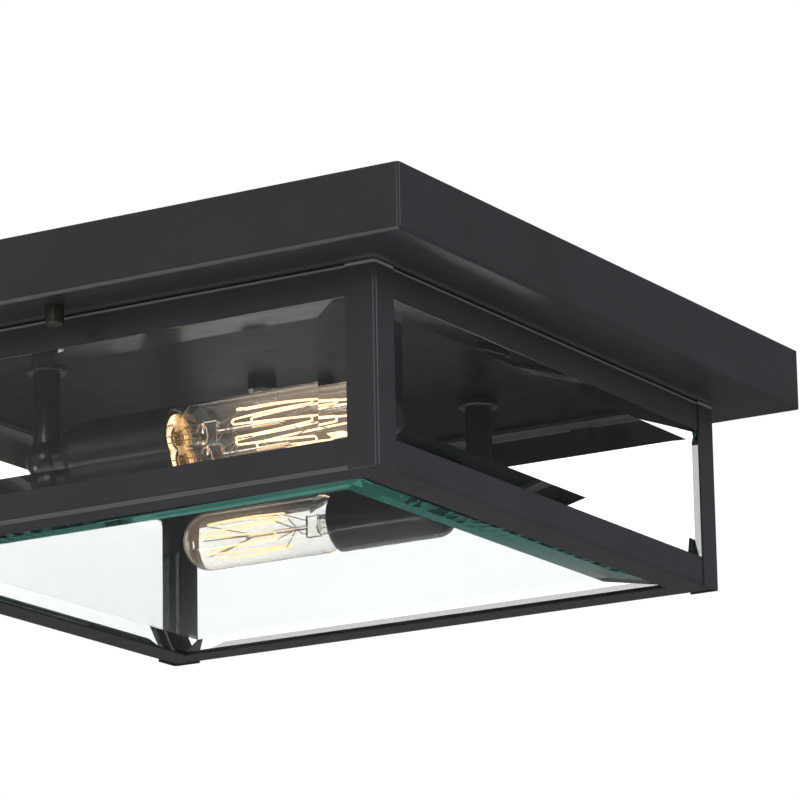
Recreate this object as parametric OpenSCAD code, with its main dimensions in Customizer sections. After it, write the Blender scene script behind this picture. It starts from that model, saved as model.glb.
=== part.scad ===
// Square outdoor flush mount light: a shallow canopy tray with a glazed lantern cage under it.
// The ceiling is the plane z = 0, the light hangs below it, and the front is -Y.
// Two tubular bulbs lie flat, head to tail, on stems that hang from an inner pan.
// The tray, cage and glass come down as one housing once two cap nuts are off.

/* [Canopy] */
// Side of the square canopy tray
canopy_w = 406.4; // [370:0.1:440]
// Depth of the canopy tray
canopy_h = 32; // [28:0.1:40]
// Thickness of the canopy and pan sheet
canopy_t = 1.2; // [0.8:0.1:1.6]
// Outside bend radius along the tray's lower edges
canopy_bend_r = 2; // [1.8:0.1:4]
// Outside radius of the tray's upright corners
canopy_corner_r = 1.6; // [1.6:0.1:3]
// Width of the ledge between the tray's edge and the cage
ledge_w = 33.8; // [30:0.1:40]
// Distance from the cage's face to the square opening in the tray floor
opening_inset = 17.4; // [15.5:0.1:24]

/* [Lantern cage] */
// Height from the canopy's underside to the feet of the posts
cage_h = 98.5; // [85:0.1:110]
// Thickness of the cage sheet
cage_t = 1; // [0.8:0.1:1.2]
// Leg width of the corner posts
post_w = 16.4; // [14:0.1:20]
// Outside bend radius of the corner posts
post_bend_r = 2; // [1.3:0.1:3]
// Height of the top rails
top_rail_h = 15.9; // [12:0.1:18]
// Outside bend radius of the top rails
top_bend_r = 2; // [1.4:0.1:3]
// Width of the top rails' inward flange
top_flange_w = 13; // [11:0.1:14]
// Height of the bottom rails
bottom_rail_h = 14.7; // [12:0.1:18]
// Width of the bottom rails' inward flange
bottom_flange_w = 19; // [15:0.1:20]
// Outside bend radius of the bottom rails
rail_bend_r = 2.6; // [1.4:0.1:3.5]
// How far the posts' feet reach below the bottom rails
foot_drop = 0.4; // [0.3:0.1:1.5]

/* [Glass] */
// Thickness of the bevelled panes
pane_t = 5.3; // [4.5:0.1:6]
// Thickness left at a pane's bevelled edge
pane_edge_t = 1; // [0.8:0.1:2]
// Gap between the side panes' upper edges and the top rails' flanges
pane_top_gap = 1.7; // [0.3:0.1:3]
// Width of the bevel on the four side panes
side_bevel_w = 21; // [18:0.1:24]
// Width of the bevel on the bottom pane
bottom_bevel_w = 32.4; // [24:0.1:36]
// Gap at each end of the left and right panes
side_pane_end_gap = 1.4; // [1:0.1:6]
// Gap between a front or back pane's end and the side pane beside it
front_pane_end_gap = 5.3; // [1:0.1:8]
// Gap between the bottom pane's edge and the side panes
bottom_pane_end_gap = 5.5; // [1:0.1:8]
// Height of the spring clips that hold the side panes
clip_h = 9; // [6:0.1:12]
// Width of the spring clips
clip_w = 12; // [8:0.5:16]
// Distance of each clip from the middle of its pane
clip_offset = 90; // [60:1:120]

/* [Mounting] */
// Length of the mounting strap
strap_l = 116; // [112:1:130]
// Width of the mounting strap
strap_w = 26; // [22:0.5:32]
// Thickness of the mounting strap
strap_t = 2; // [1.6:0.1:3]
// Distance between the middles of the two strap slots
slot_spacing = 79.4; // [76:0.1:84]
// End-to-end length of each strap slot
slot_l = 23.6; // [18:0.1:26]
// Width of each strap slot
slot_w = 4.6; // [4.4:0.1:5.5]
// Outside diameter of the threaded nipples
nipple_d = 9.7; // [9:0.1:10.5]
// Bore of the threaded nipples
nipple_bore_d = 6.4; // [6.2:0.1:7]
// Width across the flats of the nipple nuts
nipple_nut_af = 14.3; // [13:0.1:16]
// Thickness of the nipple nuts
nipple_nut_t = 4.4; // [3:0.1:6]
// Length of nipple that shows below the lower pan nut
nipple_tail = 1.2; // [0.5:0.1:3]
// Distance of the ground screw from the centre
ground_screw_x = 19; // [17:0.1:21]
// Distance of the housing studs from the tray's edge
stud_inset = 17.7; // [12:0.1:20]
// Diameter of the housing studs
stud_d = 4.2; // [3.8:0.1:5]
// Diameter of the cap nuts
cap_nut_d = 9; // [8:0.1:12]
// Height of the cap nuts
cap_nut_h = 9.5; // [8:0.1:14]

/* [Inner pan] */
// Gap between the pan's walls and the tray's walls
pan_side_gap = 7; // [5:0.1:9]
// Outside bend radius of the pan's lower edges
pan_bend_r = 2.4; // [2:0.1:3.5]
// Gap between the pan and the tray floor below it
pan_gap = 0.3; // [0.3:0.1:1]
// Gap between the pan's rim and the ceiling
pan_rim_gap = 1; // [0.5:0.1:3]

/* [Lampholders] */
// Distance of each stem from the centre along X
stem_x = 69.5; // [64:0.5:76]
// Distance of each stem from the centre along Y
stem_y = 91.6; // [84:0.1:100]
// Outside diameter of the stems
stem_d = 13.8; // [12:0.1:14.4]
// Wall of the stems
stem_wall = 1.2; // [1:0.1:1.6]
// Depth of the bulb axis below the ceiling
bulb_axis_depth = 80; // [76:0.5:86]
// Diameter of the round collar under the pan
collar_d = 21; // [20:0.1:24]
// Thickness of the round collar
collar_t = 4.9; // [4:0.1:6]
// Diameter of the ball that turns the stem into the lampholder
ball_d = 21; // [20:0.1:24]
// Distance from the stem's axis to the end of the ball's side neck
ball_neck_l = 15.3; // [13.5:0.1:17]
// Diameter of the ball's side neck
ball_neck_d = 14; // [13:0.1:16]
// Outside diameter of the socket cover
cover_d = 32; // [31.8:0.1:34]
// Wall of the socket cover
cover_wall = 0.8; // [0.6:0.1:0.9]
// Length of the socket cover
cover_l = 66; // [64:0.1:72]
// Outside radius of the socket cover's closed end
cover_end_r = 9; // [7:0.1:10]

/* [Bulbs] */
// Diameter of the bulb glass
bulb_d = 31.75; // [29:0.05:31.8]
// Length of bulb that stands out of the socket cover
bulb_reach = 97.5; // [92:0.1:102]
// Wall of the bulb glass
bulb_wall = 0.8; // [0.6:0.1:1.2]
// Crest diameter of the bulb's screw base
base_d = 26.2; // [25.9:0.05:26.4]
// Diameter of the filament cage
cage_d = 19; // [16:0.5:21]
// Number of loops in the filament
filament_loops = 5; // [4:1:7]

/* [Hidden] */
$fn = 96;
eps = 0.01;
// Radial clearances of pieces that are pushed together, bolted with play, or turn on each other
fit_gap = 0.05;
bolt_gap = 0.4;
turn_gap = 0.3;
// Gap between pieces that rest on each other
rest_gap = 0.2;

// Levels of the tray, the pan and the cage
tray_floor_z = -canopy_h;
pan_z = tray_floor_z + canopy_t + pan_gap;
pan_top_z = pan_z + canopy_t;
foot_z = tray_floor_z - cage_h;
rail_foot_z = foot_z + foot_drop;

// Tray and pan in plan
pan_half = canopy_w / 2 - canopy_t - pan_side_gap;
stud_y = canopy_w / 2 - stud_inset;

// Cage in plan: posts outside, rails just inside them
post_half = canopy_w / 2 - ledge_w;
rail_half = post_half - cage_t;
rail_in = rail_half - cage_t;
mitre_gap = 0.1;
tray_opening_half = post_half - opening_inset;

// Side panes: thin edges behind the rails, bevelled face resting on the rails' free edges
pane_top_z = tray_floor_z - cage_t - pane_top_gap;
pane_foot_z = rail_foot_z + cage_t + rest_gap + 0.1;
rail_cover = max(pane_top_z - (tray_floor_z - top_rail_h), rail_foot_z + bottom_rail_h - pane_foot_z);
side_slope = (pane_t - pane_edge_t) / side_bevel_w;
pane_out = rail_in - rest_gap + side_slope * max(0, side_bevel_w - rail_cover);
pane_in = pane_out - pane_t;
side_pane_half = rail_in - side_pane_end_gap;
front_pane_half = pane_in - front_pane_end_gap;
clip_t = 0.6;

// Bottom pane: it lies flat on the flanges, with its bevel on top
bottom_pane_half = pane_in - bottom_pane_end_gap;
bottom_pane_z = rail_foot_z + cage_t + rest_gap;

// Centre nipple, studs and cap nuts
nipple_top_gap = 0.2;
nipple_foot_z = pan_z - nipple_nut_t - nipple_tail;
ground_screw_d = 4.8;
ground_washer_d = 8.4;
ground_washer_t = 1;
ground_head_af = 6.35;
ground_head_t = 2.4;
ground_slot_w = 1;
ground_slot_depth = 1.2;
stud_head_d = 8.4;
stud_head_t = 1.4;
nut_floor = 1.7;
nut_bore_depth = cap_nut_h - nut_floor;
stud_tip_gap = 0.8;
stud_foot_z = tray_floor_z - nut_bore_depth + stud_tip_gap;
nut_edge = 0.8;

// Stems and balls
stem_above_pan = 7;
stem_top_z = pan_top_z + stem_above_pan;
stem_nut_af = 19;
stem_nut_t = 4;
stem_above_axis = 6;
stem_foot_z = -bulb_axis_depth + stem_above_axis;
collar_edge = 0.8;
collar_ring_t = 3.1;
collar_groove = 1.4;
ball_socket_depth = 4;

// Lampholder, measured along its own axis from the cover's open mouth inwards
mouth_x = cover_l + fit_gap - (stem_x - ball_neck_l);
cover_in_d = cover_d - 2 * cover_wall;
body_d = cover_in_d - 0.6;
body_start = 3;
body_bore_end = 31;
body_base_end = 37;
neck_d = 16;
neck_end = 46;
nipple_grip = 7.5;
cover_nut_t = 3.5;
thread_pitch = 3.63;
thread_depth = 0.75;
shell_wall = 0.35;
shell_turns = 6;
shell_r = base_d / 2 - thread_depth + turn_gap;
body_bore_d = 2 * (shell_r + thread_depth + shell_wall + fit_gap);
contact_d = 9;
contact_t = 0.5;
contact_boss_d = 5;
contact_boss_h = 1.9;

// Bulb, measured on the same axis: below zero is outside the mouth
base_rim = 1.3;
base_turns = 5;
base_end = base_rim + (base_turns + 0.8) * thread_pitch;
base_wall = 0.3;
base_root_r = base_d / 2 - thread_depth;
tip_end = body_bore_end - contact_t - contact_boss_h - turn_gap;
insulator_end = tip_end - 1.7;
insulator_tip_d = 10;
tip_d = 9;
neck_r = base_root_r - base_wall - fit_gap;
neck_grip = 6;
shoulder_start = -3;
shoulder_end = -10;
pip_r = 2.5;
pip_h = 1;
dome_end = -bulb_reach + pip_h;
flare_r = 5.4;
flare_wall = 0.9;
press_w = 11.4;
press_t = 3.2;
press_start = -20.9;
press_end = -12.7;
arbor_d = 2.2;
arbor_end = -59.2;
filament_near = -35.8;
filament_far = -80.8;
filament_d = 0.4;
filament_arc = 330;
wire_d = 0.6;
wire_joint = 0.1;
wire_fn = 16;
hook_gap = (filament_d + wire_joint + wire_d) / 2 + fit_gap;
root_r = (arbor_d + wire_d) / 2;
inner_wire_x = 1.4;
outer_wire_x = 3.6;
near_root = press_start - 8;
far_root = arbor_end + 2;

// Leads from the sockets to the twist-on connectors
lead_d = 2.2;
lead_offset = 1.6;
connector_x = 30;
connector_r = 6.5;
connector_l = 22;
connector_skirt = 6;
connector_tip_r = 4;
connector_bore_l = 4;
lead_end_y = -connector_l / 2 + connector_bore_l - 0.2;

black = [0.13, 0.13, 0.14];
steel = [0.7, 0.7, 0.72];
brass = [0.78, 0.62, 0.3];
bronze = [0.2, 0.18, 0.14];
clear = [0.8, 0.95, 0.92, 0.35];

// Shapes shared by the pieces

// Square outline with rounded corners
module rounded_square(half, r) {
    square([2 * half, 2 * (half - r)], center = true);
    square([2 * (half - r), 2 * half], center = true);
    for (x = [-1, 1], y = [-1, 1])
        translate([x * (half - r), y * (half - r)])
            circle(r);
}

// Upright section of a tray, open upwards, with rounded lower corners
module tray_section(half, h, r) {
    translate([-half, r])
        square([2 * half, h - r]);
    translate([-half + r, 0])
        square([2 * (half - r), h]);
    for (x = [-1, 1])
        translate([x * (half - r), r])
            circle(r);
}

// Solid block with rounded lower edges and upright corners, standing on z = 0
module tray_block(half, h, r, corner_r) {
    intersection() {
        rotate([90, 0, 0])
            linear_extrude(2 * half, center = true)
                tray_section(half, h, r);
        rotate([90, 0, 90])
            linear_extrude(2 * half, center = true)
                tray_section(half, h, r);
        linear_extrude(h)
            rounded_square(half, corner_r);
    }
}

// Open square tray folded from sheet, with its floor's underside on z = 0
module sheet_tray(half, h, t, r, corner_r) {
    difference() {
        tray_block(half, h, r, corner_r);
        translate([0, 0, t])
            tray_block(half - t, h, r - t, max(corner_r - t, 0.2));
    }
}

// Hexagonal nut with its underside on z = 0
module hex_nut(af, t, bore_d) {
    difference() {
        cylinder(h = t, d = af / cos(30), $fn = 6);
        translate([0, 0, -1])
            cylinder(h = t + 2, d = bore_d);
    }
}

// Round tube standing on z = 0
module tube(h, d, bore_d) {
    difference() {
        cylinder(h = h, d = d);
        translate([0, 0, -1])
            cylinder(h = h + 2, d = bore_d);
    }
}

// Round wire along a list of points, a hair thicker where it turns
module wire(points, d) {
    for (i = [0 : len(points) - 2]) {
        run = points[i + 1] - points[i];
        translate(points[i])
            rotate([0, atan2(norm([run[0], run[1]]), run[2]), atan2(run[1], run[0])])
                cylinder(h = norm(run), d = d, $fn = wire_fn);
        if (i > 0)
            translate(points[i])
                sphere(d = d + wire_joint, $fn = wire_fn);
    }
}

// Turns a piece made for the front into its twin at the back
module at_back() {
    rotate([0, 0, 180])
        children();
}

// Puts a piece made along +Z, measured inwards from the mouth, on the front lampholder's axis
module on_socket_axis() {
    translate([mouth_x, -stem_y, -bulb_axis_depth])
        rotate([0, -90, 0])
            children();
}

// Mounting pieces

module mounting_strap() {
    color(steel)
        translate([0, 0, -strap_t])
            linear_extrude(strap_t)
                difference() {
                    union() {
                        square([strap_l - strap_w, strap_w], center = true);
                        for (x = [-1, 1])
                            translate([x * (strap_l - strap_w) / 2, 0])
                                circle(d = strap_w);
                    }
                    circle(d = nipple_d + 2 * fit_gap);
                    translate([ground_screw_x, 0])
                        circle(d = ground_screw_d + 2 * fit_gap);
                    for (x = [-1, 1])
                        translate([x * slot_spacing / 2, 0]) {
                            square([slot_l - slot_w, slot_w], center = true);
                            for (e = [-1, 1])
                                translate([e * (slot_l - slot_w) / 2, 0])
                                    circle(d = slot_w);
                        }
                }
}

// Slotted hexagonal washer-head screw, from below
module ground_screw() {
    head_z = -strap_t - ground_washer_t - ground_head_t;
    color([0.15, 0.5, 0.25])
        translate([ground_screw_x, 0, 0])
            difference() {
                union() {
                    translate([0, 0, -strap_t - ground_washer_t])
                        cylinder(h = ground_washer_t, d = ground_washer_d);
                    translate([0, 0, head_z])
                        cylinder(h = ground_head_t + eps, d = ground_head_af / cos(30), $fn = 6);
                    translate([0, 0, -strap_t - eps])
                        cylinder(h = strap_t - nipple_top_gap + eps, d = ground_screw_d);
                }
                translate([0, 0, head_z])
                    cube([ground_washer_d, ground_slot_w, 2 * ground_slot_depth], center = true);
            }
}

module center_nipple() {
    color(steel)
        translate([0, 0, nipple_foot_z])
            tube(-nipple_foot_z - nipple_top_gap, nipple_d, nipple_bore_d);
}

module nipple_nut(z, finish) {
    color(finish)
        translate([0, 0, z])
            hex_nut(nipple_nut_af, nipple_nut_t, nipple_d + 2 * fit_gap);
}

module inner_pan() {
    color(black)
        difference() {
            translate([0, 0, pan_z])
                sheet_tray(pan_half, -pan_z - pan_rim_gap, canopy_t, pan_bend_r, pan_bend_r);
            translate([0, 0, pan_z - 1]) {
                cylinder(h = canopy_t + 2, d = nipple_d + 2 * bolt_gap);
                for (s = [-1, 1]) {
                    translate([s * stem_x, s * stem_y, 0])
                        cylinder(h = canopy_t + 2, d = stem_d + 2 * bolt_gap);
                    translate([0, s * stud_y, 0])
                        cylinder(h = canopy_t + 2, d = stud_d + 2 * fit_gap);
                }
            }
        }
}

module housing_studs() {
    color(steel)
        for (s = [-1, 1])
            translate([0, s * stud_y, 0]) {
                translate([0, 0, pan_top_z])
                    cylinder(h = stud_head_t, d = stud_head_d);
                translate([0, 0, stud_foot_z])
                    cylinder(h = pan_top_z - stud_foot_z + eps, d = stud_d);
            }
}

// Stem pieces, made for the front and turned for the back

module stem() {
    color(black)
        translate([-stem_x, -stem_y, stem_foot_z])
            tube(stem_top_z - stem_foot_z, stem_d, stem_d - 2 * stem_wall);
}

module stem_collars() {
    color(black)
        for (s = [-1, 1])
            translate([s * stem_x, s * stem_y, pan_z - collar_t])
                rotate_extrude()
                    polygon([
                        [stem_d / 2 + fit_gap, 0], [collar_d / 2 - collar_edge, 0],
                        [collar_d / 2, collar_edge], [collar_d / 2, collar_ring_t],
                        [collar_d / 2 - collar_groove, collar_ring_t],
                        [collar_d / 2 - collar_groove, collar_t], [stem_d / 2 + fit_gap, collar_t]
                    ]);
}

module stem_nuts() {
    color(steel)
        for (s = [-1, 1])
            translate([s * stem_x, s * stem_y, pan_top_z])
                hex_nut(stem_nut_af, stem_nut_t, stem_d + 2 * fit_gap);
}

// Ball with the stem in its top, a nipple in its side neck and a wire way between them
module stem_ball() {
    color(black)
        translate([-stem_x, -stem_y, -bulb_axis_depth])
            difference() {
                union() {
                    sphere(d = ball_d);
                    rotate([0, 90, 0])
                        cylinder(h = ball_neck_l, d = ball_neck_d);
                }
                translate([0, 0, stem_foot_z + bulb_axis_depth])
                    cylinder(h = ball_d, d = stem_d + 2 * fit_gap);
                translate([ball_neck_l - ball_socket_depth, 0, 0])
                    rotate([0, 90, 0])
                        cylinder(h = ball_d, d = nipple_d + 2 * fit_gap);
                sphere(d = nipple_bore_d);
                cylinder(h = ball_d, d = nipple_bore_d);
                rotate([0, 90, 0])
                    cylinder(h = ball_d, d = nipple_bore_d);
            }
}

// Nipples that join the balls to the socket bodies through the covers' closed ends
module socket_nipples() {
    start = neck_end - nipple_grip;
    color(steel)
        for (a = [0, 180])
            rotate([0, 0, a])
                on_socket_axis()
                    translate([0, 0, start])
                        tube(cover_l + fit_gap + ball_socket_depth - start, nipple_d, nipple_bore_d);
}

// Nuts inside the covers that hold the covers against the balls
module socket_nuts() {
    color(steel)
        for (a = [0, 180])
            rotate([0, 0, a])
                on_socket_axis()
                    translate([0, 0, cover_l - cover_wall - rest_gap - cover_nut_t])
                        hex_nut(nipple_nut_af, cover_nut_t, nipple_d + 2 * fit_gap);
}

// Lampholder pieces

// Half section of a round cup along +Y with a rounded closed end
module cup_section(r, l, end_r) {
    square([r, l - end_r]);
    square([r - end_r, l]);
    translate([r - end_r, l - end_r])
        intersection() {
            circle(end_r);
            square(end_r);
        }
}

module socket_cover() {
    color(black)
        on_socket_axis()
            difference() {
                rotate_extrude()
                    cup_section(cover_d / 2, cover_l, cover_end_r);
                translate([0, 0, -eps])
                    rotate_extrude()
                        cup_section(cover_in_d / 2, cover_l - cover_wall + eps, cover_end_r - cover_wall);
                translate([0, 0, cover_l - 2 * cover_wall])
                    cylinder(h = 4 * cover_wall, d = nipple_d + 2 * fit_gap);
            }
}

module socket_body() {
    color([0.85, 0.84, 0.8])
        on_socket_axis()
            difference() {
                union() {
                    translate([0, 0, body_start])
                        cylinder(h = body_base_end - body_start, d = body_d);
                    translate([0, 0, body_base_end - eps])
                        cylinder(h = neck_end - body_base_end + eps, d = neck_d);
                }
                translate([0, 0, body_start - 1])
                    cylinder(h = body_bore_end - body_start + 1, d = body_bore_d);
                translate([0, 0, neck_end - nipple_grip])
                    cylinder(h = nipple_grip + 1, d = nipple_d + 2 * fit_gap);
                for (s = [-1, 1])
                    translate([0, s * lead_offset, body_bore_end - 1])
                        cylinder(h = neck_end - body_bore_end, d = lead_d + 2 * fit_gap);
            }
}

// Wavy outline of a round thread: the radius swells from r to r + depth once a pitch
function thread_wave(r, start, turns, steps = 8) = [
    for (i = [0 : turns * steps])
        [r + thread_depth * (1 - cos(360 * i / steps)) / 2, start + thread_pitch * i / steps]
];

// Thin rolled wall outside a wavy outline
module rolled_wall(outline, wall) {
    last = len(outline) - 1;
    rotate_extrude()
        polygon(concat(outline, [for (i = [0 : last]) outline[last - i] + [wall, 0]]));
}

module screw_shell() {
    color(brass)
        on_socket_axis()
            rolled_wall(thread_wave(shell_r, base_rim + thread_pitch, shell_turns), shell_wall);
}

// Round contact with a hollow boss that meets the bulb's tip
module center_contact() {
    color(brass)
        on_socket_axis()
            translate([0, 0, body_bore_end - contact_t])
                difference() {
                    union() {
                        cylinder(h = contact_t, d = contact_d);
                        translate([0, 0, -contact_boss_h])
                            cylinder(h = contact_boss_h + eps, d = contact_boss_d);
                    }
                    translate([0, 0, -contact_boss_h + contact_t])
                        cylinder(h = contact_boss_h + 1, d = contact_boss_d - 2 * contact_t);
                }
}

// Leads: from the front lampholder, through the ball and up the stem
function stem_route(dy) = [
    [mouth_x - body_bore_end - 0.4, -stem_y + dy, -bulb_axis_depth],
    [-stem_x, -stem_y + dy, -bulb_axis_depth],
    [-stem_x, -stem_y + dy, stem_top_z + 4]
];
// Short way to the connector on the stem's own side
near_route = [
    [-64, -80, pan_top_z + 11.2], [-46, -46, pan_top_z + 1.8],
    [-connector_x, -connector_l / 2 - 4, pan_top_z + 5], [-connector_x, lead_end_y, pan_top_z + 5]
];
// Long way round to the other connector
far_route = [
    [-58, -90, pan_top_z + 11.2], [8, -62, pan_top_z + 4.7], [40, -46, pan_top_z + 5.7],
    [49, -20, pan_top_z + 6.2], [49, 20, pan_top_z + 6.7], [40, 34, pan_top_z + 8.1],
    [connector_x, connector_l / 2 + 10, pan_top_z + 8.3], [connector_x, -lead_end_y, pan_top_z + 8.3]
];

module live_leads() {
    color([0.1, 0.1, 0.1]) {
        wire(concat(stem_route(lead_offset), near_route), lead_d);
        at_back()
            wire(concat(stem_route(-lead_offset), far_route), lead_d);
    }
}

module neutral_leads() {
    color([0.9, 0.9, 0.88]) {
        wire(concat(stem_route(-lead_offset), far_route), lead_d);
        at_back()
            wire(concat(stem_route(lead_offset), near_route), lead_d);
    }
}

// Twist-on connectors, lying on the pan with their mouths towards the nearer stem
module wire_connectors() {
    color([0.85, 0.35, 0.1])
        for (a = [0, 180])
            rotate([0, 0, a])
                translate([-connector_x, -connector_l / 2, pan_top_z + connector_r])
                    rotate([-90, 0, 0])
                        difference() {
                            union() {
                                cylinder(h = connector_skirt, r = connector_r);
                                translate([0, 0, connector_skirt - eps])
                                    cylinder(
                                        h = connector_l - connector_skirt, r1 = connector_r - 0.8,
                                        r2 = connector_tip_r
                                    );
                            }
                            translate([0, 0, -1])
                                cylinder(h = connector_bore_l + 1, r = connector_r - 1.5);
                        }
}

// Housing pieces

module canopy_tray() {
    color(black)
        difference() {
            translate([0, 0, tray_floor_z])
                sheet_tray(canopy_w / 2, canopy_h, canopy_t, canopy_bend_r, canopy_corner_r);
            translate([0, 0, tray_floor_z + canopy_t / 2])
                cube([2 * tray_opening_half, 2 * tray_opening_half, canopy_t + 2], center = true);
            for (s = [-1, 1])
                translate([0, s * stud_y, tray_floor_z - 1])
                    cylinder(h = canopy_t + 2, d = stud_d + 2 * bolt_gap);
        }
}

// Quarter ring at a bend between two sheet legs that run along +X and +Y from the corner
module bend_section(r) {
    translate([r, r])
        intersection() {
            difference() {
                circle(r);
                circle(r - cage_t);
            }
            translate([-r, -r])
                square(r);
        }
}

// Corner post at the front right; the others are turns of it
module corner_post() {
    color(black)
        translate([post_half, -post_half, foot_z])
            linear_extrude(cage_h)
                mirror([1, 0]) {
                    bend_section(post_bend_r);
                    translate([post_bend_r, 0])
                        square([post_w - post_bend_r, cage_t]);
                    translate([0, post_bend_r])
                        square([cage_t, post_w - post_bend_r]);
                }
}

// Front rail from its upright section: x runs inwards from the rail's face, y runs up.
// Its ends are mitred, and their outer corners stay clear of the posts' inner bends.
module front_rail(z, depth) {
    corner = post_bend_r - cage_t;
    end = rail_half - mitre_gap;
    intersection() {
        translate([0, -rail_half, z])
            rotate([90, 0, 90])
                linear_extrude(2 * rail_half, center = true)
                    children();
        translate([0, 0, foot_z])
            linear_extrude(cage_h)
                polygon([
                    [-end + corner, -rail_half], [end - corner, -rail_half],
                    [end - corner / 2, -rail_half + corner / 2], [end - depth, -rail_half + depth],
                    [-end + depth, -rail_half + depth], [-end + corner / 2, -rail_half + corner / 2]
                ]);
    }
}

module top_rail() {
    color(black)
        front_rail(tray_floor_z - top_rail_h, top_flange_w) {
            square([cage_t, top_rail_h - top_bend_r]);
            translate([0, top_rail_h])
                mirror([0, 1])
                    bend_section(top_bend_r);
            translate([top_bend_r, top_rail_h - cage_t])
                square([top_flange_w - top_bend_r, cage_t]);
        }
}

module bottom_rail() {
    color(black)
        front_rail(rail_foot_z, bottom_flange_w) {
            bend_section(rail_bend_r);
            translate([0, rail_bend_r])
                square([cage_t, bottom_rail_h - rail_bend_r]);
            translate([rail_bend_r, 0])
                square([bottom_flange_w - rail_bend_r, cage_t]);
        }
}

// Plate with a wide flat bevel all round its outer face, which looks towards -Y
module bevelled_pane(half_w, h, bevel_w) {
    hull() {
        translate([-half_w, pane_t - pane_edge_t, 0])
            cube([2 * half_w, pane_edge_t, h]);
        translate([-half_w + bevel_w, 0, bevel_w])
            cube([2 * (half_w - bevel_w), pane_t, h - 2 * bevel_w]);
    }
}

module side_pane(half_w) {
    color(clear)
        translate([0, -pane_out, pane_foot_z])
            bevelled_pane(half_w, pane_top_z - pane_foot_z, side_bevel_w);
}

module pane_bottom() {
    color(clear)
        translate([0, -bottom_pane_half, bottom_pane_z + pane_t])
            rotate([-90, 0, 0])
                bevelled_pane(bottom_pane_half, 2 * bottom_pane_half, bottom_bevel_w);
}

// Spring clips under the top rails' flanges, two to a pane
module pane_clips() {
    flange_edge = rail_half - top_flange_w;
    color(black)
        for (a = [0 : 90 : 270], s = [-1, 1])
            rotate([0, 0, a])
                translate([s * clip_offset - clip_w / 2, -pane_in, tray_floor_z - cage_t - clip_t]) {
                    cube([clip_w, pane_in - flange_edge, clip_t]);
                    translate([0, 0, clip_t - clip_h])
                        cube([clip_w, clip_t, clip_h]);
                }
}

// Blind round nut under the tray, made for the front
module cap_nut() {
    color(bronze)
        translate([0, -stud_y, tray_floor_z - cap_nut_h])
            difference() {
                rotate_extrude()
                    polygon([
                        [0, 0], [cap_nut_d / 2 - nut_edge, 0], [cap_nut_d / 2, nut_edge],
                        [cap_nut_d / 2, cap_nut_h], [0, cap_nut_h]
                    ]);
                translate([0, 0, cap_nut_h - nut_bore_depth])
                    cylinder(h = nut_bore_depth + 1, d = stud_d + 2 * fit_gap);
            }
}

// Bulb pieces, made for the front and turned for the back

// Half section of the bulb's outer shape, drawn in by inset all round, open at the neck
function bulb_outline(inset) = concat(
    [
        for (a = [0 : 9 : 90])
            let (r = bulb_d / 2 - inset)
            [r * sin(a), dome_end + bulb_d / 2 - r * cos(a)]
    ],
    [
        for (i = [0 : 8])
            let (full = bulb_d / 2, blend = (1 + cos(180 * i / 8)) / 2)
            [neck_r + (full - neck_r) * blend - inset, shoulder_end + (shoulder_start - shoulder_end) * i / 8]
    ],
    [[neck_r - inset, base_rim + neck_grip]]
);

module bulb_glass() {
    outer = bulb_outline(0);
    inner = bulb_outline(bulb_wall);
    last = len(inner) - 1;
    color(clear)
        on_socket_axis() {
            rotate_extrude()
                polygon(concat(outer, [for (i = [0 : last]) inner[last - i]]));
            translate([0, 0, dome_end + pip_r - pip_h])
                sphere(r = pip_r);
        }
}

module bulb_base() {
    rim = base_rim + base_turns * thread_pitch;
    color(brass)
        on_socket_axis() {
            rolled_wall(thread_wave(base_root_r - base_wall, base_rim, base_turns), base_wall);
            translate([0, 0, rim - eps])
                tube(base_end - rim + eps, 2 * base_root_r, 2 * (base_root_r - base_wall));
        }
}

// Glass insulator with the contact button let into it
module bulb_insulator() {
    color([0.08, 0.08, 0.1])
        on_socket_axis() {
            translate([0, 0, base_end])
                cylinder(h = insulator_end - base_end, d1 = 2 * base_root_r, d2 = insulator_tip_d);
            translate([0, 0, insulator_end - eps])
                cylinder(h = tip_end - insulator_end + eps, d1 = tip_d, d2 = tip_d - 3);
        }
}

// Glass tube that flares out to the neck, its pinched press, and the rod for the supports
module bulb_mount() {
    flare_end = base_rim + neck_grip;
    flare_end_r = neck_r - bulb_wall - fit_gap;
    color(clear)
        on_socket_axis() {
            rotate_extrude()
                polygon([
                    [0, press_end], [flare_r, press_end], [flare_r, base_rim], [flare_end_r, flare_end],
                    [flare_end_r - flare_wall, flare_end], [flare_r - flare_wall, base_rim],
                    [flare_r - flare_wall, press_end + flare_wall], [0, press_end + flare_wall]
                ]);
            translate([-press_w / 2, -press_t / 2, press_start])
                cube([press_w, press_t, press_end - press_start + eps]);
            translate([0, 0, arbor_end])
                cylinder(h = press_start - arbor_end + eps, d = arbor_d);
        }
}

// Point at radius r and depth s on the ray of the filament's turn k
function on_ray(k, r, s) =
    let (a = filament_arc * k / (2 * filament_loops))
    [r * cos(a), r * sin(a), s];

// Depth of a filament turn: even ones lie near the press, odd ones towards the tip
function turn_depth(k) = k % 2 == 0 ? filament_near : filament_far;

// End of the wire that holds the filament's turn k
function hook(k) = on_ray(k, cage_d / 2 - hook_gap, turn_depth(k));

module bulb_wires() {
    last = 2 * filament_loops;
    lead_start = press_start - wire_d / 2;
    color(steel)
        on_socket_axis() {
            for (k = [1 : last - 1])
                wire([on_ray(k, root_r, k % 2 == 0 ? near_root : far_root), hook(k)], wire_d);
            wire([[outer_wire_x, 0, lead_start], hook(0)], wire_d);
            wire([[-outer_wire_x, 0, lead_start], [-2, -4, press_start - 6], hook(last)], wire_d);
            for (s = [-1, 1])
                translate([s * inner_wire_x, 0, press_end + flare_wall])
                    cylinder(h = base_end - press_end - flare_wall, d = wire_d);
        }
}

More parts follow.
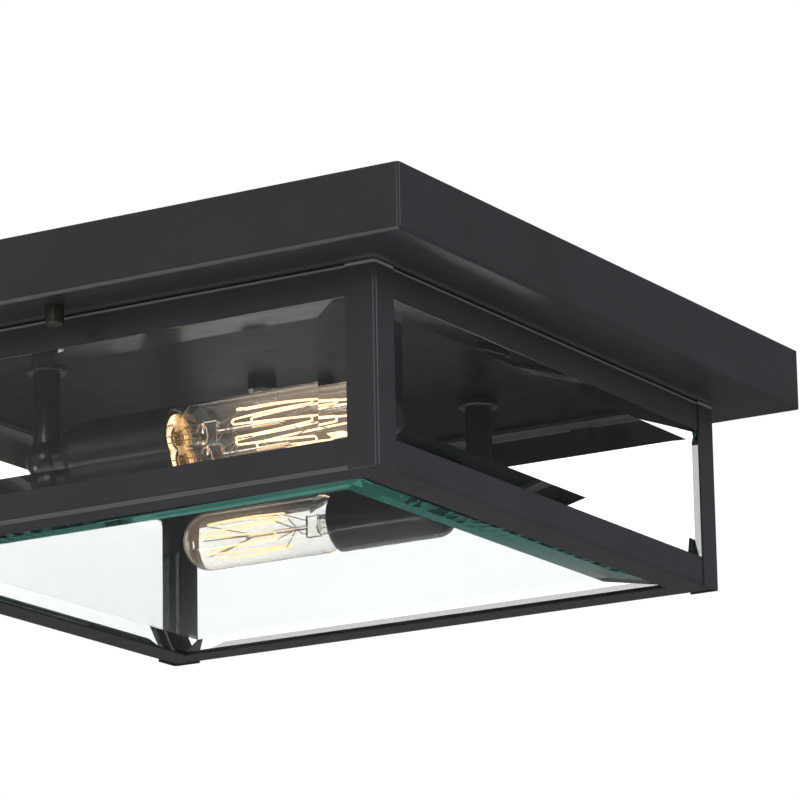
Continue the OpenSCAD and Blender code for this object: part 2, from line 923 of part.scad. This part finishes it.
module filament() {
    color([1, 0.7, 0.3])
        on_socket_axis()
            wire([for (k = [0 : 2 * filament_loops]) on_ray(k, cage_d / 2, turn_depth(k))], filament_d);
}

mounting_strap();
ground_screw();
center_nipple();
nipple_nut(-strap_t - nipple_nut_t, steel);  // strap_nut
nipple_nut(pan_top_z, steel);  // pan_nut_upper
nipple_nut(pan_z - nipple_nut_t, black);  // pan_nut_lower
inner_pan();
housing_studs();
stem();  // stem_front
at_back() stem();  // stem_back
stem_collars();
stem_nuts();
stem_ball();  // stem_ball_front
at_back() stem_ball();  // stem_ball_back
socket_nipples();
socket_nuts();
socket_cover();  // socket_cover_front
at_back() socket_cover();  // socket_cover_back
socket_body();  // socket_body_front
at_back() socket_body();  // socket_body_back
screw_shell();  // screw_shell_front
at_back() screw_shell();  // screw_shell_back
center_contact();  // center_contact_front
at_back() center_contact();  // center_contact_back
live_leads();
neutral_leads();
wire_connectors();
canopy_tray();
corner_post();  // post_front_right
rotate([0, 0, 90]) corner_post();  // post_back_right
rotate([0, 0, 180]) corner_post();  // post_back_left
rotate([0, 0, 270]) corner_post();  // post_front_left
top_rail();  // top_rail_front
rotate([0, 0, 90]) top_rail();  // top_rail_right
rotate([0, 0, 180]) top_rail();  // top_rail_back
rotate([0, 0, 270]) top_rail();  // top_rail_left
bottom_rail();  // bottom_rail_front
rotate([0, 0, 90]) bottom_rail();  // bottom_rail_right
rotate([0, 0, 180]) bottom_rail();  // bottom_rail_back
rotate([0, 0, 270]) bottom_rail();  // bottom_rail_left
side_pane(front_pane_half);  // pane_front
rotate([0, 0, 90]) side_pane(side_pane_half);  // pane_right
rotate([0, 0, 180]) side_pane(front_pane_half);  // pane_back
rotate([0, 0, 270]) side_pane(side_pane_half);  // pane_left
pane_bottom();
pane_clips();
cap_nut();  // cap_nut_front
at_back() cap_nut();  // cap_nut_back
bulb_glass();  // bulb_glass_front
at_back() bulb_glass();  // bulb_glass_back
bulb_base();  // bulb_base_front
at_back() bulb_base();  // bulb_base_back
bulb_insulator();  // bulb_insulator_front
at_back() bulb_insulator();  // bulb_insulator_back
bulb_mount();  // bulb_mount_front
at_back() bulb_mount();  // bulb_mount_back
bulb_wires();  // bulb_wires_front
at_back() bulb_wires();  // bulb_wires_back
filament();  // filament_front
at_back() filament();  // filament_back
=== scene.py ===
# Looks of the square outdoor flush mount light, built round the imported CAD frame.
import bmesh
import bpy
import math
from mathutils import Matrix, Vector


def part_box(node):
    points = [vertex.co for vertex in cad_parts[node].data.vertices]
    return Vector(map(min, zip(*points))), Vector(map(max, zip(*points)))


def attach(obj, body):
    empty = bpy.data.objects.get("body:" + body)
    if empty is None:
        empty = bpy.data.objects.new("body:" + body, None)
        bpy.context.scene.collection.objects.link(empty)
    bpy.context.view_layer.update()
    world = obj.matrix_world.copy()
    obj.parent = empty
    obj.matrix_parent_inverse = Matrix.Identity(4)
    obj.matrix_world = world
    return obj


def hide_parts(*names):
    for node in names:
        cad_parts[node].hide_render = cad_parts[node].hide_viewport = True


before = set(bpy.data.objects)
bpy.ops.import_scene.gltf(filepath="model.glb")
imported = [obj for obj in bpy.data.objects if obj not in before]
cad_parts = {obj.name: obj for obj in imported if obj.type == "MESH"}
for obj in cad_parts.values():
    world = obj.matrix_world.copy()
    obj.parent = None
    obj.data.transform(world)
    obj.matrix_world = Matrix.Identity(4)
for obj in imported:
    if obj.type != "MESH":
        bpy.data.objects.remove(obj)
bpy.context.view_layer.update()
MM = 0.001
HALF = 0.5


# Camera at the photograph's viewing angle
CAMERA_AT = Vector((1.23946, -1.93592, -0.63420))
CAMERA_RIGHT = Vector((0.855462, 0.517564, -0.017683))
CAMERA_FORWARD = Vector((-0.497391, 0.830667, 0.250189))
LENS_MM = 209.256
SENSOR_MM = 36


def add_camera():
    right = CAMERA_RIGHT.normalized()
    back = -CAMERA_FORWARD.normalized()
    up = back.cross(right)
    data = bpy.data.cameras.new("camera")
    data.lens = LENS_MM
    data.sensor_width = SENSOR_MM
    camera = bpy.data.objects.new("camera", data)
    turn = Matrix((right, up, back)).transposed()
    camera.matrix_world = Matrix.Translation(CAMERA_AT) @ turn.to_4x4()
    bpy.context.scene.collection.objects.link(camera)
    bpy.context.scene.camera = camera


# Node helpers
# Most of a noise lies between these two values
NOISE_LOW = 0.3
NOISE_HIGH = 0.7

# The colour sockets of a Mix node, which share their names with others
MIX_A = 6
MIX_B = 7
MIX_RESULT = 2


class Nodes:
    """A node tree, and short ways to add nodes to it."""

    def __init__(self, tree):
        self.tree = tree

    def add(self, kind, **settings):
        node = self.tree.nodes.new(kind)
        for name, value in settings.items():
            setattr(node, name, value)
        return node

    def feed(self, socket, value):
        """Links another node's output to the socket, or sets it to a plain value."""
        if isinstance(value, bpy.types.NodeSocket):
            self.tree.links.new(value, socket)
        else:
            socket.default_value = value

    def math(self, operation, *values):
        node = self.add("ShaderNodeMath", operation=operation)
        for socket, value in zip(node.inputs, values):
            self.feed(socket, value)
        return node.outputs["Value"]

    def map_range(self, source, start, end, low, high, smooth=False):
        """Goes from low to high as the source goes from start to end."""
        node = self.add("ShaderNodeMapRange")
        if smooth:
            node.interpolation_type = "SMOOTHSTEP"
        self.feed(node.inputs["Value"], source)
        self.feed(node.inputs["From Min"], start)
        self.feed(node.inputs["From Max"], end)
        self.feed(node.inputs["To Min"], low)
        self.feed(node.inputs["To Max"], high)
        return node.outputs["Result"]

    def coordinate(self, vector, axis):
        node = self.add("ShaderNodeSeparateXYZ")
        self.feed(node.inputs["Vector"], vector)
        return node.outputs[axis]


class Surface(Nodes):
    """One material with a Principled shader."""

    def __init__(self, name, metallic=0.0):
        self.material = bpy.data.materials.new(name)
        self.material.use_nodes = True
        super().__init__(self.material.node_tree)
        self.shader = self.tree.nodes["Principled BSDF"]
        self.place = self.add("ShaderNodeTexCoord").outputs["Object"]
        self.set("Metallic", metallic)

    def set(self, name, value):
        self.feed(self.shader.inputs[name], value)

    def noise(self, size, detail=3.0, stretch=(1, 1, 1)):
        """Noise with lumps of about that size in metres, drawn out along an axis by stretch."""
        mapping = self.add("ShaderNodeMapping")
        self.feed(mapping.inputs["Vector"], self.place)
        self.feed(mapping.inputs["Scale"], [1 / s for s in stretch])
        texture = self.add("ShaderNodeTexNoise")
        self.feed(texture.inputs["Vector"], mapping.outputs["Vector"])
        self.feed(texture.inputs["Scale"], 1 / size)
        self.feed(texture.inputs["Detail"], detail)
        return texture.outputs["Fac"]

    def ramp(self, source, *colors, stops=None):
        """Colours over a noise, evenly from its low to its high values unless stops are given."""
        step = (NOISE_HIGH - NOISE_LOW) / (len(colors) - 1)
        stops = stops or [NOISE_LOW + step * i for i in range(len(colors))]
        node = self.add("ShaderNodeValToRGB")
        elements = node.color_ramp.elements
        for _ in colors[2:]:
            elements.new(HALF)
        for element, stop, color in zip(elements, stops, colors):
            element.position = stop
            element.color = (*color, 1)
        self.feed(node.inputs["Fac"], source)
        return node.outputs["Color"]

    def vary_color(self, source, *colors, stops=None):
        self.set("Base Color", self.ramp(source, *colors, stops=stops))

    def vary_roughness(self, source, low, high):
        self.set("Roughness", self.map_range(source, NOISE_LOW, NOISE_HIGH, low, high))

    def lay_over(self, factor, color):
        """Mixes another colour into the one that the surface has, by that factor."""
        base = self.shader.inputs["Base Color"]
        mix = self.add("ShaderNodeMix", data_type="RGBA")
        self.feed(mix.inputs["Factor"], factor)
        self.feed(mix.inputs[MIX_A], base.links[0].from_socket)
        self.feed(mix.inputs[MIX_B], (*color, 1))
        self.feed(base, mix.outputs[MIX_RESULT])

    def bump(self, source, height, strength):
        """Relief of that height in metres."""
        node = self.add("ShaderNodeBump")
        self.feed(node.inputs["Strength"], strength)
        self.feed(node.inputs["Distance"], height)
        self.feed(node.inputs["Height"], source)
        self.set("Normal", node.outputs["Normal"])


def shade(color, factor):
    return tuple(factor * c for c in color)


# Materials of the metal, porcelain and plastic parts
CLOUD_SHADE = 0.1
ROUGHNESS_SPREAD = 0.04
COAT_PER_GLOSS = 2.4
COAT_ROUGHNESS = 0.16


def satin_black(name, color, roughness=0.42, gloss=0.4):
    """Powder coat: near black, with fine orange peel and faint clouds."""
    surface = Surface(name)
    clouds = surface.noise(60 * MM, detail=4)
    surface.vary_color(clouds, shade(color, 1 - CLOUD_SHADE), shade(color, 1 + CLOUD_SHADE))
    patches = surface.noise(12 * MM)
    surface.vary_roughness(patches, low=roughness - ROUGHNESS_SPREAD, high=roughness + ROUGHNESS_SPREAD)
    surface.bump(surface.noise(1.1 * MM, detail=2), height=0.01 * MM, strength=0.35)
    surface.set("Specular IOR Level", gloss)
    surface.set("Coat Weight", COAT_PER_GLOSS * gloss)
    surface.set("Coat Roughness", COAT_ROUGHNESS)
    return surface


# Levels between which the painted highlight on the top rails' upper bend comes and goes
RAIL_HIGHLIGHT_FOOT = -34.3 * MM
RAIL_HIGHLIGHT_TOP = -32.3 * MM
RAIL_HIGHLIGHT_COLOR = (0.8, 0.8, 0.84)


def frame_coat_and_painted_highlight(name, color):
    """The cage's coat, with a painted highlight of light grey along the upper bend of its rails."""
    surface = satin_black(name, color)
    height = surface.coordinate(surface.place, "Z")
    over_bend = surface.map_range(height, RAIL_HIGHLIGHT_FOOT, RAIL_HIGHLIGHT_TOP, 0, 1)
    painted_highlight_mask = surface.math("PINGPONG", over_bend, HALF)
    # Painted highlight: a light grey line laid over the coat along the rails' upper bend
    surface.lay_over(painted_highlight_mask, RAIL_HIGHLIGHT_COLOR)
    return surface


def bright_zinc(name):
    """Zinc plate on steel, with bluish and yellowish patches."""
    surface = Surface(name, metallic=0.55)
    bluish, plain, yellowish = (0.58, 0.6, 0.64), (0.72, 0.72, 0.73), (0.8, 0.78, 0.7)
    surface.vary_color(surface.noise(4 * MM, detail=5), bluish, plain, yellowish)
    surface.vary_roughness(surface.noise(1.5 * MM), low=0.24, high=0.46)
    surface.bump(surface.noise(0.6 * MM), height=0.008 * MM, strength=0.3)
    return surface


def green_screw(name):
    """Green dye over steel, worn to bare metal in a few spots."""
    surface = Surface(name, metallic=0.3)
    wear = surface.noise(1.6 * MM, detail=5)
    dark, green, bare = (0.03, 0.17, 0.07), (0.06, 0.26, 0.11), (0.4, 0.42, 0.36)
    surface.vary_color(wear, dark, green, bare, stops=(0.3, 0.65, 0.9))
    surface.vary_roughness(wear, low=0.28, high=0.5)
    surface.bump(surface.noise(0.5 * MM), height=0.01 * MM, strength=0.3)
    return surface


def glazed_porcelain(name):
    """Off-white porcelain under a clear glaze."""
    surface = Surface(name)
    cream, pale = (0.8, 0.79, 0.74), (0.86, 0.85, 0.81)
    surface.vary_color(surface.noise(4 * MM, detail=6), cream, pale, stops=(0.35, 0.6))
    surface.vary_roughness(surface.noise(2 * MM), low=0.08, high=0.22)
    surface.bump(surface.noise(3 * MM), height=0.04 * MM, strength=0.3)
    surface.set("Coat Weight", 0.6)
    surface.set("Coat Roughness", 0.05)
    return surface


def rolled_brass(name):
    """Brass with patches of tarnish."""
    surface = Surface(name, metallic=1)
    tarnished, plain, bright = (0.6, 0.4, 0.16), (0.78, 0.57, 0.26), (0.88, 0.69, 0.36)
    surface.vary_color(surface.noise(3 * MM, detail=6), tarnished, plain, bright)
    surface.vary_roughness(surface.noise(1 * MM), low=0.18, high=0.38)
    surface.bump(surface.noise(0.4 * MM), height=0.005 * MM, strength=0.3)
    return surface


def lead_plastic(name, color):
    """Insulation of the leads."""
    surface = Surface(name)
    surface.vary_color(surface.noise(4 * MM), shade(color, 0.88), shade(color, 1.08))
    surface.vary_roughness(surface.noise(1.5 * MM), low=0.42, high=0.6)
    surface.bump(surface.noise(0.7 * MM), height=0.02 * MM, strength=0.3)
    return surface


def connector_plastic(name):
    """Orange plastic of the twist-on connectors."""
    surface = Surface(name)
    deep_orange, orange = (0.66, 0.2, 0.035), (0.8, 0.28, 0.06)
    surface.vary_color(surface.noise(5 * MM), deep_orange, orange)
    surface.vary_roughness(surface.noise(2 * MM), low=0.32, high=0.52)
    surface.bump(surface.noise(0.8 * MM), height=0.03 * MM, strength=0.4)
    return surface


def dark_bronze(name):
    """Darkened metal of the cap nuts."""
    surface = Surface(name, metallic=0.4)
    dark, olive = (0.038, 0.038, 0.028), (0.062, 0.06, 0.042)
    surface.vary_color(surface.noise(2 * MM, detail=5), dark, olive)
    surface.vary_roughness(surface.noise(1 * MM), low=0.3, high=0.46)
    surface.bump(surface.noise(0.6 * MM), height=0.01 * MM, strength=0.3)
    return surface


def black_insulator(name):
    """Black glass under the bulb's screw base."""
    surface = Surface(name)
    black, violet = (0.015, 0.012, 0.02), (0.03, 0.025, 0.035)
    surface.vary_color(surface.noise(3 * MM), black, violet)
    surface.vary_roughness(surface.noise(1 * MM), low=0.1, high=0.25)
    surface.bump(surface.noise(1 * MM), height=0.02 * MM, strength=0.3)
    return surface


def drawn_wire(name):
    """Bright metal of the bulb, with fine marks along the wires."""
    surface = Surface(name, metallic=1)
    copper, plain, bright = (0.45, 0.36, 0.3), (0.6, 0.56, 0.52), (0.68, 0.62, 0.55)
    surface.vary_color(surface.noise(4 * MM), copper, plain, bright)
    surface.vary_roughness(surface.noise(0.6 * MM, stretch=(6, 1, 1)), low=0.22, high=0.42)
    surface.bump(surface.noise(0.3 * MM, stretch=(8, 1, 1)), height=0.004 * MM, strength=0.3)
    return surface


# Glass and light
GLASS_IOR = 1.5
PANE_TINT = (0.42, 0.8, 0.74)
PANE_DENSITY = 8


def clear_glass(name, color):
    surface = Surface(name)
    surface.set("Base Color", (*color, 1))
    surface.set("Roughness", 0)
    surface.set("Transmission Weight", 1)
    surface.set("IOR", GLASS_IOR)
    return surface


def pane_glass(name):
    """Clear float glass: colourless across its faces, green along the way between them."""
    surface = clear_glass(name, (1, 1, 1))
    surface.bump(surface.noise(30 * MM, detail=1), height=0.01 * MM, strength=0.05)
    absorption = surface.add("ShaderNodeVolumeAbsorption")
    surface.feed(absorption.inputs["Color"], (*PANE_TINT, 1))
    surface.feed(absorption.inputs["Density"], PANE_DENSITY)
    surface.feed(surface.tree.nodes["Material Output"].inputs["Volume"], absorption.outputs["Volume"])
    return surface


# A painted glow on the bulb glass, standing in for reflections of the lit thread, grows between these
# two distances from the middle of the light, along the bulbs
PAINTED_GLOW_START = 25 * MM
PAINTED_GLOW_FULL = 70 * MM
PAINTED_GLOW_LEVEL = 0.055
PAINTED_GLOW_COLOR = (1.0, 0.72, 0.46)


def bulb_glass(name):
    """Clear glass with a painted warm glow where it stands round the lit thread."""
    surface = clear_glass(name, (1, 0.99, 0.97))
    surface.bump(surface.noise(12 * MM, detail=2), height=0.03 * MM, strength=0.25)
    outward = surface.math("ABSOLUTE", surface.coordinate(surface.place, "X"))
    # Painted glow: warm emission on the glass itself, in place of the thread's reflections
    painted_glow = surface.map_range(outward, PAINTED_GLOW_START, PAINTED_GLOW_FULL, 0, PAINTED_GLOW_LEVEL, smooth=True)
    surface.set("Emission Color", (*PAINTED_GLOW_COLOR, 1))
    surface.set("Emission Strength", painted_glow)
    return surface


CARBON = (0.35, 0.12, 0.04)
COOLER_GLOW = (1.0, 0.52, 0.22)
HOTTER_GLOW = (1.0, 0.66, 0.38)
GLOW = 3.2
MIRRORED_GLOW = 0.3


def glowing_filament(name):
    """Carbon thread at heat, a little hotter in places, and weak where gloss mirrors it."""
    surface = Surface(name)
    surface.set("Base Color", (*CARBON, 1))
    surface.set("Roughness", 0.6)
    surface.set("Emission Color", surface.ramp(surface.noise(6 * MM), COOLER_GLOW, HOTTER_GLOW))
    mirrorings = surface.add("ShaderNodeLightPath").outputs["Glossy Depth"]
    surface.set("Emission Strength", surface.map_range(mirrorings, 0, 1, GLOW, MIRRORED_GLOW))
    surface.bump(surface.noise(0.2 * MM, stretch=(1, 6, 6)), height=0.02 * MM, strength=0.5)
    return surface


FINISHES = {
    "zinc": bright_zinc,
    "ground_green": green_screw,
    "fixture_black": lambda name: satin_black(name, (0.034, 0.034, 0.04)),
    "cover_black": lambda name: satin_black(name, (0.034, 0.034, 0.039)),
    "pan_black": lambda name: satin_black(name, (0.02, 0.023, 0.027), roughness=0.5, gloss=0.07),
    "canopy_black": lambda name: satin_black(name, (0.036, 0.036, 0.042)),
    "frame_black": lambda name: frame_coat_and_painted_highlight(name, (0.045, 0.045, 0.052)),
    "porcelain": glazed_porcelain,
    "brass_parts": rolled_brass,
    "lead_black": lambda name: lead_plastic(name, (0.02, 0.02, 0.022)),
    "lead_white": lambda name: lead_plastic(name, (0.78, 0.78, 0.75)),
    "connector_orange": connector_plastic,
    "pane_glass": pane_glass,
    "bronze_nuts": dark_bronze,
    "bulb_clear": bulb_glass,
    "bulb_insulator": black_insulator,
    "bulb_metal": drawn_wire,
    "filament": glowing_filament,
}


def finish_cad_nodes(materials):
    """Gives each CAD node the finish of its own slot."""
    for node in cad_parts.values():
        for place in node.material_slots:
            slot = place.material.name.split(".")[0]
            place.material = materials[slot]


# Bulbs: a blown envelope and a looped thread in each, in place of the plain CAD ones
class BulbAxis:
    """Places of one bulb along its own axis: s is the depth into the lampholder from its mouth."""

    def __init__(self, side):
        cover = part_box(f"socket_cover_{side}")
        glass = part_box(f"bulb_glass_{side}")
        mouth_end = 1 if side == "front" else 0
        self.turn = 1 if side == "front" else -1
        self.mouth_x = cover[mouth_end][0]
        self.y = (cover[0][1] + cover[1][1]) / 2
        self.z = (cover[0][2] + cover[1][2]) / 2
        self.tip = -abs(glass[mouth_end][0] - self.mouth_x)

    def point(self, s, radius, angle):
        """Point at that depth and radius, with the angle counted from straight up."""
        x = self.mouth_x - self.turn * s
        y = self.y + self.turn * radius * math.sin(angle)
        return Vector((x, y, self.z + radius * math.cos(angle)))


def mesh_piece(name, points, faces, material):
    """Smooth closed piece whose faces all look outward."""
    mesh = bpy.data.meshes.new(name)
    mesh.from_pydata(points, [], faces)
    shell = bmesh.new()
    shell.from_mesh(mesh)
    bmesh.ops.recalc_face_normals(shell, faces=shell.faces)
    shell.to_mesh(mesh)
    shell.free()
    for polygon in mesh.polygons:
        polygon.use_smooth = True
    mesh.materials.append(material)
    piece = bpy.data.objects.new(name, mesh)
    bpy.context.scene.collection.objects.link(piece)
    return piece


def lathe(name, axis, outline, material, steps=96):
    """Closed outline of depth and radius pairs, turned round the bulb's axis."""
    points = []
    for s, radius in outline:
        for step in range(steps):
            points.append(axis.point(s, radius, 2 * math.pi * step / steps))
    rings = len(outline)
    faces = []
    for ring in range(rings):
        here, there = ring * steps, (ring + 1) % rings * steps
        for step in range(steps):
            after = (step + 1) % steps
            faces.append((here + step, here + after, there + after, there + step))
    return mesh_piece(name, points, faces, material)


def thread(name, path, radius, material, sides=10):
    """Round thread along a smooth path, with closed ends."""
    points = []
    across = Vector((0, 0, 1))
    for i, place in enumerate(path):
        run = (path[min(i + 1, len(path) - 1)] - path[max(i - 1, 0)]).normalized()
        across = (across - run * across.dot(run)).normalized()
        beside = run.cross(across)
        for side in range(sides):
            angle = 2 * math.pi * side / sides
            points.append(place + radius * (math.cos(angle) * across + math.sin(angle) * beside))
    first_end = tuple(range(sides))[::-1]
    last_end = tuple(range(len(points) - sides, len(points)))
    faces = [first_end, last_end]
    for ring in range(len(path) - 1):
        here, there = ring * sides, (ring + 1) * sides
        for side in range(sides):
            after = (side + 1) % sides
            faces.append((here + side, here + after, there + after, there + side))
    return mesh_piece(name, points, faces, material)


# Sizes of the bulb's glass, as in the CAD model
BULB_RADIUS = 15.875 * MM
BULB_WALL = 0.8 * MM
NECK_RADIUS = 12 * MM
NECK_END = 7.3 * MM
SHOULDER_START = -10 * MM
SHOULDER_END = -3 * MM
PIP_HEIGHT = 1 * MM
PIP_WIDTH = 2.6 * MM
PIP_POWER = 4
DOME_STEPS = 32
SHOULDER_STEPS = 16

# A hair's width is left open on the axis, so that the wall's outline is one closed ring
TIP_HOLE = 0.01 * MM


def envelope_outline(tip, inset):
    """Bulb outline drawn in by inset: dome with its sealed pip, tube, shoulder and neck."""
    radius = BULB_RADIUS - inset
    dome_middle = tip + PIP_HEIGHT + BULB_RADIUS
    outline = []
    for step in range(DOME_STEPS + 1):
        angle = math.radians(90 * step / DOME_STEPS)
        across = max(radius * math.sin(angle), TIP_HOLE)
        pip = PIP_HEIGHT * math.exp(-(across / PIP_WIDTH) ** PIP_POWER)
        outline.append((dome_middle - radius * math.cos(angle) - pip, across))
    for step in range(SHOULDER_STEPS + 1):
        part = step / SHOULDER_STEPS
        rise = (1 + math.cos(math.pi * part)) / 2
        across = NECK_RADIUS + (BULB_RADIUS - NECK_RADIUS) * rise - inset
        outline.append((SHOULDER_START + (SHOULDER_END - SHOULDER_START) * part, across))
    outline.append((NECK_END, NECK_RADIUS - inset))
    return outline


FILAMENT_TURNS = 12
FILAMENT_ARC = math.radians(330)
FILAMENT_CAGE = 9.5 * MM
FILAMENT_BOW = 0.7 * MM
FILAMENT_RADIUS = 0.5 * MM
FILAMENT_BEND = 1.35 * MM
FILAMENT_NEAR = -35.5 * MM
FILAMENT_FAR = -80.5 * MM
BEND_STEPS = 6
STRAND_STEPS = 12


def filament_path(axis):
    """Long strands to and fro round a cage, with a rounded turn at each end, bowed out between."""
    pitch = FILAMENT_ARC / FILAMENT_TURNS
    half_bend = FILAMENT_BEND / FILAMENT_CAGE
    near = FILAMENT_NEAR - FILAMENT_BEND
    far = FILAMENT_FAR + FILAMENT_BEND
    path = []
    for turn in range(FILAMENT_TURNS + 1):
        angle = pitch * turn
        outward, here, there = (1, near, far) if turn % 2 == 0 else (-1, far, near)
        for step in range(-BEND_STEPS, BEND_STEPS + 1):
            sweep = math.radians(90 * step / BEND_STEPS)
            s = here + outward * FILAMENT_BEND * math.cos(sweep)
            path.append(axis.point(s, FILAMENT_CAGE, angle + half_bend * math.sin(sweep)))
        if turn == FILAMENT_TURNS:
            break
        first = angle + half_bend
        last = angle + pitch - half_bend
        for step in range(1, STRAND_STEPS):
            part = step / STRAND_STEPS
            s = here + (there - here) * part
            radius = FILAMENT_CAGE + FILAMENT_BOW * math.sin(math.pi * part)
            path.append(axis.point(s, radius, first + (last - first) * part))
    return path


def add_envelope(side, axis, glass):
    outer = envelope_outline(axis.tip, inset=0)
    inner = envelope_outline(axis.tip, inset=BULB_WALL)
    envelope = lathe(f"envelope_{side}", axis, outer + inner[::-1], glass)
    envelope.visible_diffuse = False
    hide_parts(f"bulb_glass_{side}")
    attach(envelope, f"bulb_{side}")


def add_filament(side, axis, glow):
    strand = thread(f"filament_thread_{side}", filament_path(axis), FILAMENT_RADIUS, glow)
    strand.visible_diffuse = False
    strand.visible_glossy = False
    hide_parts(f"filament_{side}")
    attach(strand, f"bulb_{side}")


# Studio: a pale floor far below, a white surround and soft lamps
FLOOR_Z = -12.0
FLOOR_HALF = 12.0


def pale_floor():
    surface = Surface("floor")
    surface.vary_color(surface.noise(0.4), (0.79, 0.79, 0.79), (0.82, 0.82, 0.82))
    surface.set("Roughness", 0.7)
    low, high = -FLOOR_HALF, FLOOR_HALF
    corners = [(low, low, FLOOR_Z), (high, low, FLOOR_Z), (high, high, FLOOR_Z), (low, high, FLOOR_Z)]
    mesh = bpy.data.meshes.new("floor")
    mesh.from_pydata(corners, [], [(0, 1, 2, 3)])
    mesh.materials.append(surface.material)
    floor = bpy.data.objects.new("floor", mesh)
    bpy.context.scene.collection.objects.link(floor)


# A ray with more gloss bounces than this has run on inside a pane
MOST_MIRRORINGS = 3
GUIDED_LEVEL = 0.25
ALMOST_NONE = 0.01


class Surround(Nodes):
    """World shader: white to the eye and through glass, a soft room to everything else."""

    def __init__(self):
        world = bpy.data.worlds.new("surround")
        world.use_nodes = True
        super().__init__(world.node_tree)
        self.path = self.add("ShaderNodeLightPath").outputs
        self.direction = self.add("ShaderNodeTexCoord").outputs["Generated"]
        bpy.context.scene.world = world

    def patch(self, toward, full, gone, level):
        """Round soft light in a direction: full inside one angle in degrees, gone past the other."""
        node = self.add("ShaderNodeVectorMath", operation="DOT_PRODUCT")
        self.feed(node.inputs[0], self.direction)
        self.feed(node.inputs[1], Vector(toward).normalized())
        start, end = (math.cos(math.radians(degrees)) for degrees in (gone, full))
        return self.map_range(node.outputs["Value"], start, end, 0, level, smooth=True)

    def show(self, gloss, far_gloss, fill):
        """White where the ray has only met glass, gloss in reflections, fill for all other light.

        Far gloss is what the parts inside the cage mirror through the panes behind them. Light that
        runs on inside a pane turns many times before it leaves, and comes out dimmer. Bounces come
        in whole numbers, so a half parts none from one.
        """
        mirrorings = self.path["Glossy Depth"]
        middle, reach = (MOST_MIRRORINGS + 1) / 2, MOST_MIRRORINGS / 2
        mirrored_few = self.math("COMPARE", mirrorings, middle, reach)
        guided = self.math("GREATER_THAN", mirrorings, MOST_MIRRORINGS + HALF)
        unscattered = self.math("LESS_THAN", self.path["Diffuse Depth"], HALF)

        clear = self.math("SUBTRACT", 1.0, self.math("MULTIPLY", guided, 1 - GUIDED_LEVEL))
        straight = self.math("MULTIPLY", unscattered, self.math("SUBTRACT", clear, mirrored_few))
        seen = self.math("MAXIMUM", self.path["Is Camera Ray"], self.path["Is Transmission Ray"])
        white = self.math("MULTIPLY", seen, straight)
        beyond = self.math("MULTIPLY", self.path["Is Transmission Ray"], mirrored_few)
        beyond = self.math("MULTIPLY", beyond, unscattered)
        mirrored = self.math("MULTIPLY", self.path["Is Glossy Ray"], unscattered)
        met = self.math("MAXIMUM", self.math("MAXIMUM", beyond, mirrored), white)
        lit = self.math("LESS_THAN", met, ALMOST_NONE)

        strength = self.math("ADD", white, self.math("MULTIPLY", mirrored, gloss))
        strength = self.math("ADD", strength, self.math("MULTIPLY", beyond, far_gloss))
        strength = self.math("ADD", strength, self.math("MULTIPLY", lit, fill))
        background = self.tree.nodes["Background"]
        self.feed(background.inputs["Color"], (1, 1, 1, 1))
        self.feed(background.inputs["Strength"], strength)


FILL_BELOW = 0.42
FILL_ABOVE = 0.92
FILL_SPREAD = 0.6
ROOM_GLOSS = 0.03


def soft_room():
    """Fill that is stronger from above, and a few soft patches that gloss shows in a dim room."""
    surround = Surround()
    height = surround.coordinate(surround.direction, "Z")
    fill = surround.map_range(height, -FILL_SPREAD, FILL_SPREAD, FILL_BELOW, FILL_ABOVE, smooth=True)
    gloss = ROOM_GLOSS
    for patch in (
        # What two reflections inside a pane show
        surround.patch(toward=CAMERA_FORWARD, full=10, gone=22, level=1.0),
        # On the lower bends along the front
        surround.patch(toward=(-0.5, -0.45, -0.73), full=7, gone=18, level=9.0),
        # On the front faces
        surround.patch(toward=(-0.5, -0.83, 0.25), full=10, gone=30, level=0.12),
        # On both sides of the upright bends at the near corner
        surround.patch(toward=(0.15, -0.95, 0.25), full=8, gone=18, level=1.2),
        surround.patch(toward=(0.92, 0.2, 0.28), full=8, gone=18, level=1.2),
    ):
        gloss = surround.math("ADD", gloss, patch)
    under_pan = surround.patch(toward=(-0.5, 0.86, -0.02), full=6, gone=12, level=2.0)
    surround.show(gloss, surround.math("ADD", gloss, under_pan), fill)


LAMP_AIM = Vector((0, 0, -0.08))


def soft_lamp(name, place, size, power):
    """Square lamp aimed at the light, which no gloss or glass shows."""
    data = bpy.data.lights.new(name, "AREA")
    data.shape = "SQUARE"
    data.size = size
    data.energy = power
    lamp = bpy.data.objects.new(name, data)
    lamp.location = place
    lamp.rotation_euler = (LAMP_AIM - Vector(place)).to_track_quat("-Z", "Y").to_euler()
    lamp.visible_glossy = False
    lamp.visible_transmission = False
    bpy.context.scene.collection.objects.link(lamp)


# Light turns many times inside a pane before it leaves at an edge
GLOSS_BOUNCES = 96
GLASS_BOUNCES = 48


def add_studio():
    scene = bpy.context.scene
    scene.view_settings.view_transform = "Standard"
    scene.cycles.max_bounces = GLOSS_BOUNCES
    scene.cycles.glossy_bounces = GLOSS_BOUNCES
    scene.cycles.transmission_bounces = GLASS_BOUNCES
    pale_floor()
    soft_room()
    soft_lamp("key", place=(-1.7, -2.4, 1.2), size=1.6, power=5)
    soft_lamp("side", place=(2.6, 0.9, 1.0), size=1.6, power=23)


add_camera()
materials = {slot: finish(slot).material for slot, finish in FINISHES.items()}
finish_cad_nodes(materials)
for bulb_side in ("front", "back"):
    bulb_axis = BulbAxis(bulb_side)
    add_envelope(bulb_side, bulb_axis, materials["bulb_clear"])
    add_filament(bulb_side, bulb_axis, materials["filament"])
add_studio()
